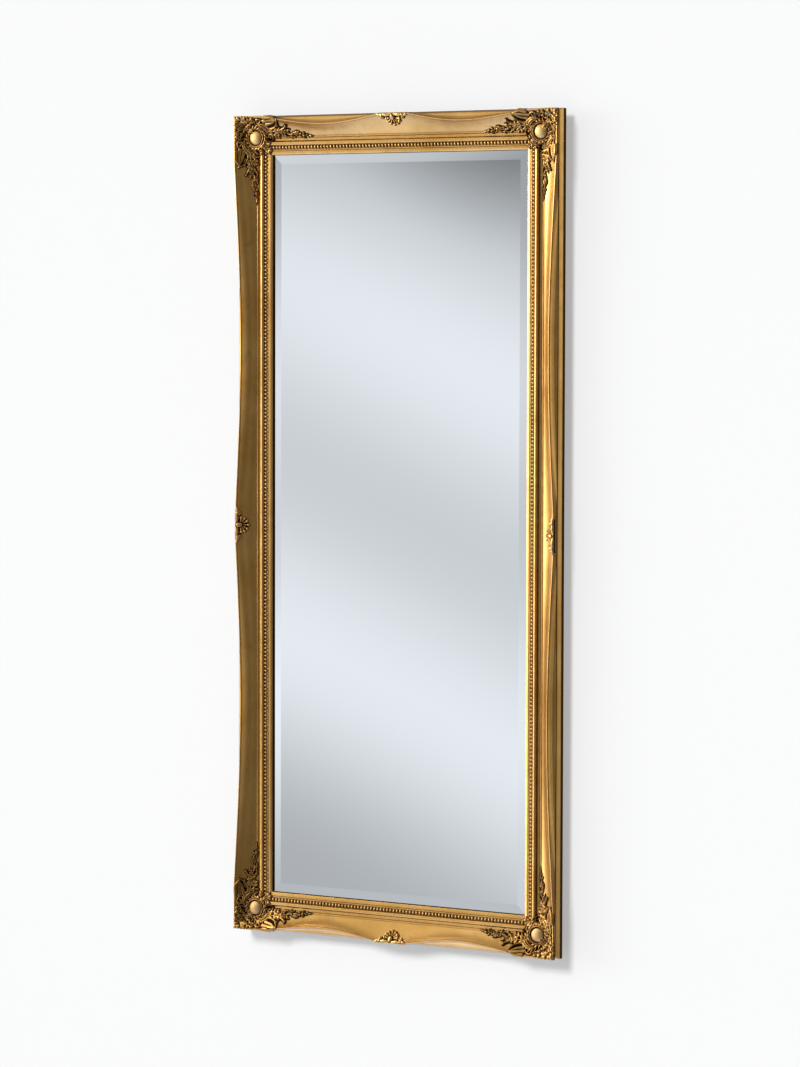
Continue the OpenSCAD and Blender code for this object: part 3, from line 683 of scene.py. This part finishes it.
def carve_crest(step):
    """The shell on a rail's ridge at its middle: x along the rail, y inwards from the ridge."""
    r = Relief(-40, 40, -1.6, 27, step)
    r.stroke([(-32, 0.8), (0, 1.4), (32, 0.8)], [1.6, 2.6, 1.6], [1.8, 2.6, 1.8], flat=0.3)
    # ribs that end in round lobes, longest in the middle
    root = np.array((0, 6.8))
    r.dome(0, 8.5, 16, 11, 0.2, foot=0.6)
    for angle in np.linspace(-80, 80, 7):
        out = np.array((1.3 * math.sin(math.radians(angle)), math.cos(math.radians(angle))))
        reach = 14.6 - 0.035 * abs(angle)
        r.stroke([root + part * reach * out for part in (0.42, 0.68, 0.86)], [0.9, 1.7, 1.9], [4.2, 5.6, 5.0],
                 steps=8)
        x, y = root + reach * out
        r.dome(x, y, 3.2, 2.9, 3.8, foot=2.6)
    # beside it a scroll, and an arm that runs out along the ridge
    for side in (-1, 1):
        link = [(side * 6, 2.4), (side * 14, 2.8), (side * 21, 2.2)]
        r.stroke(link, [1.6, 2.2, 1.6], [4.0, 5.6, 4.6], vein=1.2)
        r.volute(side * 23.5, 6.4, 3.9, 1.25, 270, 1.6, 5.8, hand=side)
        arm = [(side * 25, 2.2), (side * 31, 3.2), (side * 39, 0.9)]
        r.stroke(arm, [1.5, 2.1, 0.7], [4.2, 4.8, 1.8], vein=1.2)
    r.dome(0, 6.2, 4.9, 4.7, 4.6, 0.5, foot=3.8)
    r.web(0.6, 0.3)
    return r


def make_crest(side, relief, material):
    sight, sweep, _ = SIDES[side]
    ridge = float(ridge_s(0, **sweep))
    surface = front_height(ridge - relief.y, ridge_s(relief.x, **sweep))
    base = np.maximum(blur(surface, 1.2 / relief.step), surface - 1.0)

    def to_world(along, inwards, h):
        return place(side, along, ridge - inwards, h)

    casting("shell_" + side, "crest_" + side, relief, base, to_world, "frame", material)


# ---- materials

class Graph:
    """A short way to write shader nodes."""

    def __init__(self, tree):
        self.tree = tree

    def put(self, value, socket):
        """Links an output to a socket, or sets a number or a colour on it."""
        if isinstance(value, (int, float)):
            socket.default_value = value
        elif isinstance(value, tuple):
            socket.default_value = (*value, 1)
        else:
            self.tree.links.new(value, socket)

    def math(self, op, *values, clamp=False):
        node = self.tree.nodes.new("ShaderNodeMath")
        node.operation = op
        node.use_clamp = clamp
        for value, socket in zip(values, node.inputs):
            self.put(value, socket)
        return node.outputs[0]

    def mix(self, fac, a, b):
        node = self.tree.nodes.new("ShaderNodeMix")
        node.data_type = "RGBA"
        for key, kind, value in (("Factor", "VALUE", fac), ("A", "RGBA", a), ("B", "RGBA", b)):
            self.put(value, next(s for s in node.inputs if s.name == key and s.type == kind))
        return next(s for s in node.outputs if s.type == "RGBA")


class Nodes(Graph):
    """A material and its nodes."""

    def __init__(self, name):
        self.mat = bpy.data.materials.new(name)
        self.mat.use_nodes = True
        super().__init__(self.mat.node_tree)
        self.shader = self.tree.nodes["Principled BSDF"]
        self.coords = self.tree.nodes.new("ShaderNodeTexCoord").outputs["Object"]

    def noise(self, scale, detail=4, rough=0.55, stretch=None, distort=0.0):
        node = self.tree.nodes.new("ShaderNodeTexNoise")
        node.inputs["Scale"].default_value = scale
        node.inputs["Detail"].default_value = detail
        node.inputs["Roughness"].default_value = rough
        node.inputs["Distortion"].default_value = distort
        source = self.coords
        if stretch:
            mapping = self.tree.nodes.new("ShaderNodeMapping")
            mapping.inputs["Scale"].default_value = stretch
            self.put(source, mapping.inputs["Vector"])
            source = mapping.outputs["Vector"]
        self.put(source, node.inputs["Vector"])
        return node.outputs["Fac"]

    def ramp(self, fac, *stops, ease="LINEAR"):
        node = self.tree.nodes.new("ShaderNodeValToRGB")
        node.color_ramp.interpolation = ease
        el = node.color_ramp.elements
        while len(el) < len(stops):
            el.new(0.5)
        for e, (pos, col) in zip(el, stops):
            e.position = pos
            e.color = (*col, 1) if isinstance(col, tuple) else (col, col, col, 1)
        self.put(fac, node.inputs["Fac"])
        return node.outputs["Color"]

    def attribute(self, name):
        node = self.tree.nodes.new("ShaderNodeAttribute")
        node.attribute_name = name
        return node.outputs["Fac"]

    def bump(self, height, strength, distance):
        node = self.tree.nodes.new("ShaderNodeBump")
        node.inputs["Strength"].default_value = strength
        node.inputs["Distance"].default_value = distance
        self.put(height, node.inputs["Height"])
        self.put(node.outputs["Normal"], self.shader.inputs["Normal"])

    def set(self, **values):
        for key, value in values.items():
            self.put(value, self.shader.inputs[key.replace("_", " ")])
        return self.mat


PALE_GOLD = (0.74, 0.46, 0.18)


def gilt(name, gold, deep, wax, wax_and_shade_amount, polish):
    """Antique gilding: worn gold with a warm undercoat.

    The point attribute lays dark wax, and on the rails painted shade as well, where it is above zero,
    and leaves the metal pale and satin where it is below.
    """
    n = Nodes(name)
    cloud = n.noise(9, 5, 0.6)
    speck = n.noise(260, 3, 0.6)
    streak = n.noise(34, 4, 0.65, distort=0.4)
    wax_and_shade = n.attribute("wax_and_shade")
    tone = n.mix(n.ramp(cloud, (0.32, 0.0), (0.7, 1.0)), deep, gold)
    tone = n.mix(n.ramp(streak, (0.56, 0.0), (0.78, 0.45)), tone, tuple(0.62 * c for c in deep))
    bare = n.math("MULTIPLY", wax_and_shade, -1.0, clamp=True)
    tone = n.mix(bare, tone, PALE_GOLD)
    # how dark: wax in the hollows, and on the rails painted shade, both laid in the wax colour
    dark = n.math("MULTIPLY", wax_and_shade, wax_and_shade_amount)
    dark = n.math("ADD", dark, n.math("MULTIPLY", n.math("SUBTRACT", speck, 0.5), 0.5))
    dark = n.ramp(dark, (0.22, 0.0), (0.86, 1.0), ease="EASE")
    colour = n.mix(dark, tone, wax)
    rough = n.math("ADD", n.math("MULTIPLY", streak, 0.22), polish)
    rough = n.math("ADD", rough, n.math("MULTIPLY", n.math("ADD", bare, dark), 0.22), clamp=True)
    metal = n.math("SUBTRACT", 0.95, n.math("MULTIPLY", dark, 0.25))
    grit = n.math("ADD", n.math("MULTIPLY", speck, 0.5), n.math("MULTIPLY", n.noise(70, 4), 0.5))
    n.bump(grit, 0.22, 0.0007)
    return n.set(Base_Color=colour, Roughness=rough, Metallic=metal, Specular_IOR_Level=0.15)


WOOD_DARK, WOOD_MIDDLE, WOOD_LIGHT = (0.060, 0.025, 0.010), (0.155, 0.068, 0.026), (0.255, 0.120, 0.048)


def stained_wood(name, level=False):
    """Stained pine with upright or level grain."""
    n = Nodes(name)

    def run(across, along):
        return (along, across, across) if level else (across, across, along)

    grain = n.noise(30, 6, 0.6, stretch=run(9, 0.5), distort=0.6)
    pores = n.noise(240, 3, 0.5, stretch=run(4, 0.22))
    colour = n.ramp(grain, (0.3, WOOD_DARK), (0.52, WOOD_MIDDLE), (0.75, WOOD_LIGHT))
    colour = n.mix(n.ramp(pores, (0.6, 0.0), (0.8, 0.6)), colour, (0.03, 0.014, 0.007))
    n.bump(n.math("ADD", grain, n.math("MULTIPLY", pores, -0.6)), 0.25, 0.0006)
    return n.set(Base_Color=colour, Roughness=n.ramp(grain, (0.3, 0.36), (0.8, 0.52)), Coat_Weight=0.25,
                 Coat_Roughness=0.3)


def hardboard():
    n = Nodes("hardboard")
    fibre = n.noise(420, 6, 0.7)
    mottling = n.noise(18, 4, 0.6)
    colour = n.mix(n.ramp(mottling, (0.3, 0.0), (0.7, 1.0)), (0.24, 0.123, 0.055), (0.29, 0.154, 0.071))
    colour = n.mix(n.ramp(fibre, (0.5, 0.0), (0.75, 0.7)), colour, (0.40, 0.235, 0.120))
    n.bump(fibre, 0.3, 0.0005)
    return n.set(Base_Color=colour, Roughness=n.ramp(mottling, (0.3, 0.42), (0.7, 0.6)))


def metal(name, colour, rough):
    n = Nodes(name)
    stain = n.noise(60, 5, 0.6)
    fine = n.noise(900, 3, 0.6)
    shade = n.mix(n.ramp(stain, (0.35, 0.0), (0.75, 0.5)), colour, tuple(0.7 * c for c in colour))
    n.bump(fine, 0.12, 0.0002)
    return n.set(Base_Color=shade, Metallic=1.0, Roughness=n.ramp(stain, (0.3, rough), (0.8, rough + 0.2)))


def matt(name, colour, rough, scale, bump=0.3, sheen=0.0):
    n = Nodes(name)
    fine = n.noise(scale, 5, 0.65)
    shade = n.mix(n.ramp(fine, (0.35, 0.0), (0.7, 1.0)), tuple(0.7 * c for c in colour), colour)
    n.bump(fine, bump, 0.0006)
    return n.set(Base_Color=shade, Roughness=rough, Sheen_Weight=sheen)


def mirror_material():
    n = Nodes("silvered glass")
    haze = n.noise(3, 3)
    rough = n.ramp(haze, (0.3, 0.012), (0.8, 0.028))
    return n.set(Base_Color=(0.90, 0.925, 0.94), Metallic=1.0, Roughness=rough, Coat_Weight=0.4,
                 Coat_Roughness=0.0)


GOLD = gilt("antique gilding", (0.84, 0.485, 0.150), (0.64, 0.335, 0.080), (0.080, 0.035, 0.006),
            wax_and_shade_amount=1.0, polish=0.24)
GOLD_BEADS = gilt("gilding on the pearls", (0.82, 0.48, 0.16), (0.62, 0.33, 0.09), (0.040, 0.018, 0.003),
                  wax_and_shade_amount=1.35, polish=0.26)
GOLD_CAST = gilt("gilding on the castings", (0.56, 0.300, 0.080), (0.28, 0.135, 0.031), (0.022, 0.009, 0.002),
                 wax_and_shade_amount=1.55, polish=0.26)
GOLD_HUSKS = gilt("gilding on the husks", (0.48, 0.265, 0.075), (0.25, 0.125, 0.030), (0.022, 0.009, 0.002),
                  wax_and_shade_amount=1.6, polish=0.28)

# ---- build

for side in SIDES:
    make_rail(side, GOLD)
    make_pearls(side, GOLD_BEADS)

cartouche = carve_cartouche(0.5)
cartouche_seat = cartouche_base(cartouche)
sprig = carve_sprig(0.5)
for corner, (right, bottom) in CORNERS.items():
    casting("scrolls_" + corner, "cartouche_" + corner, cartouche, cartouche_seat,
            corner_place(right, bottom), "frame", GOLD_CAST, flip=(right == bottom))
    make_sprigs(corner, sprig, GOLD_HUSKS)

crest = carve_crest(0.45)
for side in SIDES:
    make_crest(side, crest, GOLD_BEADS)

MIRROR = mirror_material()
FOAM = matt("black foam", (0.012, 0.012, 0.013), 0.9, 500)
RUBBER = matt("black rubber", (0.02, 0.02, 0.02), 0.7, 300)
CARD = matt("grey board", (0.3, 0.25, 0.2), 0.9, 200)
BOARD = hardboard()
LEVEL_WOOD = stained_wood("stained pine, level grain", level=True)
WOOD = stained_wood("stained pine")
ZINC = metal("bright zinc", (0.66, 0.67, 0.68), 0.28)
NICKEL = metal("nickel plate", (0.62, 0.60, 0.56), 0.2)
BRASS = metal("brass plate", (0.74, 0.56, 0.28), 0.24)
FELT = matt("dark felt", (0.05, 0.045, 0.04), 0.95, 700, bump=0.6, sheen=0.5)

# the finish of each CAD part that isn't replaced
FINISHES = {
    "mirror_plate": MIRROR, "glazing_tape": FOAM, "setting_blocks": RUBBER, "packing_sheet": CARD,
    "back_board": BOARD, "cross_batten": LEVEL_WOOD, "easel_leg": WOOD, "leg_foot": RUBBER,
    "wall_pads": FELT, "leg_wall_pad": FELT,
    "mitre_nails": ZINC, "board_screws": ZINC, "batten_screws": ZINC, "leg_foot_pins": ZINC,
    "hanger_strap_left": NICKEL, "hanger_strap_right": NICKEL, "hanger_screws": NICKEL,
    "hanging_ring_left": NICKEL, "hanging_ring_right": NICKEL,
    "hinge_fixed_leaf": BRASS, "hinge_pin": BRASS, "hinge_batten_screws": BRASS, "hinge_leg_leaf": BRASS,
    "hinge_leg_screws": BRASS,
}
for node, material in FINISHES.items():
    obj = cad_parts[node]
    if not obj.material_slots:
        obj.data.materials.append(material)
    for slot in obj.material_slots:
        slot.material = material

# ---- camera

CAMERA_AT = (4.27, -6.886, 0.447 + CENTRE_Z * MM)
YAW, PITCH, ROLL = math.radians(31.77), math.radians(3.21), math.radians(0.15)
LENS = 135.8
camera_data = bpy.data.cameras.new("camera")
camera = bpy.data.objects.new("camera", camera_data)
bpy.context.collection.objects.link(camera)
bpy.context.scene.camera = camera
forward = Vector((-math.sin(YAW) * math.cos(PITCH), math.cos(YAW) * math.cos(PITCH), -math.sin(PITCH)))
level = Vector((math.cos(YAW), math.sin(YAW), 0))
upward = level.cross(forward)
across = math.cos(ROLL) * level + math.sin(ROLL) * upward
upright = math.cos(ROLL) * upward - math.sin(ROLL) * level
turned = Matrix((across, upright, -forward)).transposed().to_4x4()
camera.matrix_world = Matrix.Translation(CAMERA_AT) @ turned
camera_data.sensor_fit = "AUTO"
camera_data.sensor_width = 36
camera_data.lens = LENS
camera_data.clip_end = 100

# ---- stage and light

WALL_GAP = 0.0005
WALL_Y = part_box("wall_pads")[1].y + WALL_GAP
FLOOR_Z = -0.45
WALL_GLOW = 0.358
WALL_WHITE = 0.30


def plane(name, size, location, rotation, material):
    mesh = bpy.data.meshes.new(name)
    w = size[0] / 2
    h = size[1] / 2
    mesh.from_pydata([(-w, -h, 0), (w, -h, 0), (w, h, 0), (-w, h, 0)], [], [(0, 1, 2, 3)])
    mesh.materials.append(material)
    obj = bpy.data.objects.new(name, mesh)
    obj.location = location
    obj.rotation_euler = [math.radians(a) for a in rotation]
    bpy.context.collection.objects.link(obj)
    return obj


def wall_material():
    """Plain white wall, evenly lit, that is seen only from the room."""
    n = Nodes("white wall")
    n.set(Base_Color=(WALL_WHITE, WALL_WHITE, WALL_WHITE), Roughness=1.0, Specular_IOR_Level=0.0,
          Emission_Color=(1.0, 0.997, 0.990), Emission_Strength=WALL_GLOW)
    clear = n.tree.nodes.new("ShaderNodeBsdfTransparent")
    choose = n.tree.nodes.new("ShaderNodeMixShader")
    facing = n.tree.nodes.new("ShaderNodeNewGeometry")
    n.put(facing.outputs["Backfacing"], choose.inputs["Fac"])
    n.put(n.shader.outputs[0], choose.inputs[1])
    n.put(clear.outputs[0], choose.inputs[2])
    n.put(choose.outputs[0], n.tree.nodes["Material Output"].inputs["Surface"])
    return n.mat


def floor_material():
    n = Nodes("pale floor")
    colour = n.ramp(n.noise(1.5, 3), (0.3, (0.78, 0.78, 0.77)), (0.7, (0.82, 0.82, 0.81)))
    return n.set(Base_Color=colour, Roughness=0.7, Emission_Color=(1.0, 1.0, 1.0), Emission_Strength=0.35)


wall = plane("wall", (14, 9), (0, WALL_Y, 3.5), (90, 0, 0), wall_material())
wall.visible_shadow = False
wall.visible_diffuse = False
wall.visible_glossy = False
floor = plane("floor", (16, 16), (0, 0, FLOOR_Z), (0, 0, 0), floor_material())
floor.visible_glossy = False


def only_on(light, name, objects):
    """Lets a light fall on some objects only."""
    group = bpy.data.collections.new(name)
    for obj in objects:
        group.objects.link(obj)
    light.light_linking.receiver_collection = group


def area_light(name, location, target, size, power, colour=(1, 1, 1)):
    data = bpy.data.lights.new(name, "AREA")
    data.shape = "RECTANGLE"
    data.size, data.size_y = size
    data.energy = power
    data.color = colour
    obj = bpy.data.objects.new(name, data)
    obj.location = location
    obj.rotation_mode = "QUATERNION"
    obj.rotation_quaternion = (Vector(target) - Vector(location)).to_track_quat("-Z", "Y")
    obj.visible_camera = False
    bpy.context.collection.objects.link(obj)
    return obj


middle = (0, 0, CENTRE_Z * MM)
sun_data = bpy.data.lights.new("sun", "SUN")
sun_data.energy = 4.6
sun_data.angle = math.radians(16)
sun = bpy.data.objects.new("sun", sun_data)
sun.rotation_mode = "QUATERNION"
sun.rotation_quaternion = Vector((0.14, 1.0, -0.54)).to_track_quat("-Z", "Y")
bpy.context.collection.objects.link(sun)
only_on(sun, "lit by the sun", [wall])
mirror_pieces = [obj for obj in bpy.context.scene.objects if obj.type == "MESH" and obj not in (wall, floor)]
softbox = area_light("left_softbox", (-2.2, -1.15, 2.0), (0.35, 0, 1.3), (0.9, 1.1), 40, (1.0, 0.99, 0.97))
level_rails = [bpy.data.objects[name] for name in ("moulding_top", "moulding_bottom")]
only_on(softbox, "lit by the softbox", [obj for obj in mirror_pieces if obj not in level_rails])
fill = area_light("back_fill", (1.8, 3.5, 2.2), middle, (2.5, 2.5), 90)
only_on(fill, "lit from behind", [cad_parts[node] for node in FINISHES])


class Sky(Graph):
    """The room's soft light by direction: a dim base, and wide soft shapes added to it."""

    def __init__(self, name, base):
        world = bpy.data.worlds.new(name)
        bpy.context.scene.world = world
        world.use_nodes = True
        super().__init__(world.node_tree)
        self.way = self.tree.nodes.new("ShaderNodeTexCoord").outputs["Generated"]
        self.total = base

    def dot(self, axis):
        node = self.tree.nodes.new("ShaderNodeVectorMath")
        node.operation = "DOT_PRODUCT"
        self.put(self.way, node.inputs[0])
        node.inputs[1].default_value = axis
        return node.outputs["Value"]

    def fade(self, value, start, end, amount):
        """A smooth rise from 0 at start to amount at end."""
        node = self.tree.nodes.new("ShaderNodeMapRange")
        node.interpolation_type = "SMOOTHSTEP"
        self.put(value, node.inputs["Value"])
        for key, v in (("From Min", start), ("From Max", end), ("To Min", 0.0), ("To Max", amount)):
            node.inputs[key].default_value = v
        return node.outputs[0]

    def add(self, value):
        self.total = self.math("ADD", self.total, value)

    def cap(self, axis, inner, outer, amount):
        """A soft round patch, full up to the inner angle from its axis and gone at the outer, in degrees."""
        value = self.dot(Vector(axis).normalized())
        return self.fade(value, math.cos(math.radians(outer)), math.cos(math.radians(inner)), amount)

    def lobe(self, axis, inner, outer, amount):
        self.add(self.cap(axis, inner, outer, amount))

    def finish(self, colour, low_colour, backdrop):
        """Sets the colour, cooler towards the floor, and a plain backdrop behind the object."""
        strength = self.math("MAXIMUM", self.total, 0.02)
        seen = self.tree.nodes.new("ShaderNodeLightPath").outputs["Is Camera Ray"]
        change = self.math("MULTIPLY", seen, self.math("SUBTRACT", backdrop, strength))
        low = self.fade(self.dot((0, 0, -1)), 0.25, 0.65, 1.0)
        background = self.tree.nodes["Background"]
        self.put(self.mix(low, colour, low_colour), background.inputs["Color"])
        self.put(self.math("ADD", strength, change), background.inputs["Strength"])


FRONT_LEFT = (-0.526, -0.849, -0.30)
# soft patches of light in the room: axis, inner and outer angle, and strength
LIGHT_PATCHES = (
    ((-0.25, -0.30, 0.92), 15, 72, 0.46),  # the ceiling
    ((-0.55, -0.50, 0.67), 8, 26, 0.54),
    ((-0.45, -0.30, -0.84), 15, 55, 1.0),  # the floor, in front and behind
    ((-0.45, 0.55, -0.70), 10, 40, 0.80),
    (FRONT_LEFT, 14.6, 26.4, 0.66),  # the wall that the mirror shows
    ((-0.62, -0.74, 0.254), 2.0, 13.5, 0.60),
    ((-0.90, -0.43, 0.10), 8, 22, 6.4),  # a window far on the left
    ((-0.70, -0.71, -0.05), 3, 9, 0.10),
    ((0.88, 0.42, 0.24), 8, 26, 1.25),  # the right
    ((0.98, -0.20, 0.0), 4, 14, 0.80),
    ((0.60, -0.80, 0.0), 2, 10, 0.34),
)
# and dark ones, which the mirror shows high up and low down
DARK_PATCHES = (
    ((-0.484, -0.869, 0.099), 0.5, 5.3, -0.69),
    ((-0.590, -0.747, -0.304), 1.0, 14.1, -0.67),
)
BAND_SLANT, BAND_SHIFT, BAND_PITCH, BAND_DEPTH = 0.577, 0.061, 0.0903, 0.114

room = Sky("studio", 0.13)
for patch in LIGHT_PATCHES:
    room.lobe(*patch)
# soft slanting bands, as a plain room gives in a mirror
slant = room.math("ADD", room.dot((0, 0, 1)), room.math("MULTIPLY", room.dot((1, 0, 0)), BAND_SLANT))
phase = room.math("MULTIPLY", room.math("ADD", slant, BAND_SHIFT), 2 * math.pi / BAND_PITCH)
depth = room.cap(FRONT_LEFT, 16, 28, BAND_DEPTH)
room.add(room.math("MULTIPLY", room.math("SINE", phase), depth))
for patch in DARK_PATCHES:
    room.lobe(*patch)
room.finish((0.955, 0.985, 1.02), (0.93, 1.17, 2.0), 0.80)

bpy.context.scene.view_settings.view_transform = "Standard"
bpy.context.scene.view_settings.look = "None"
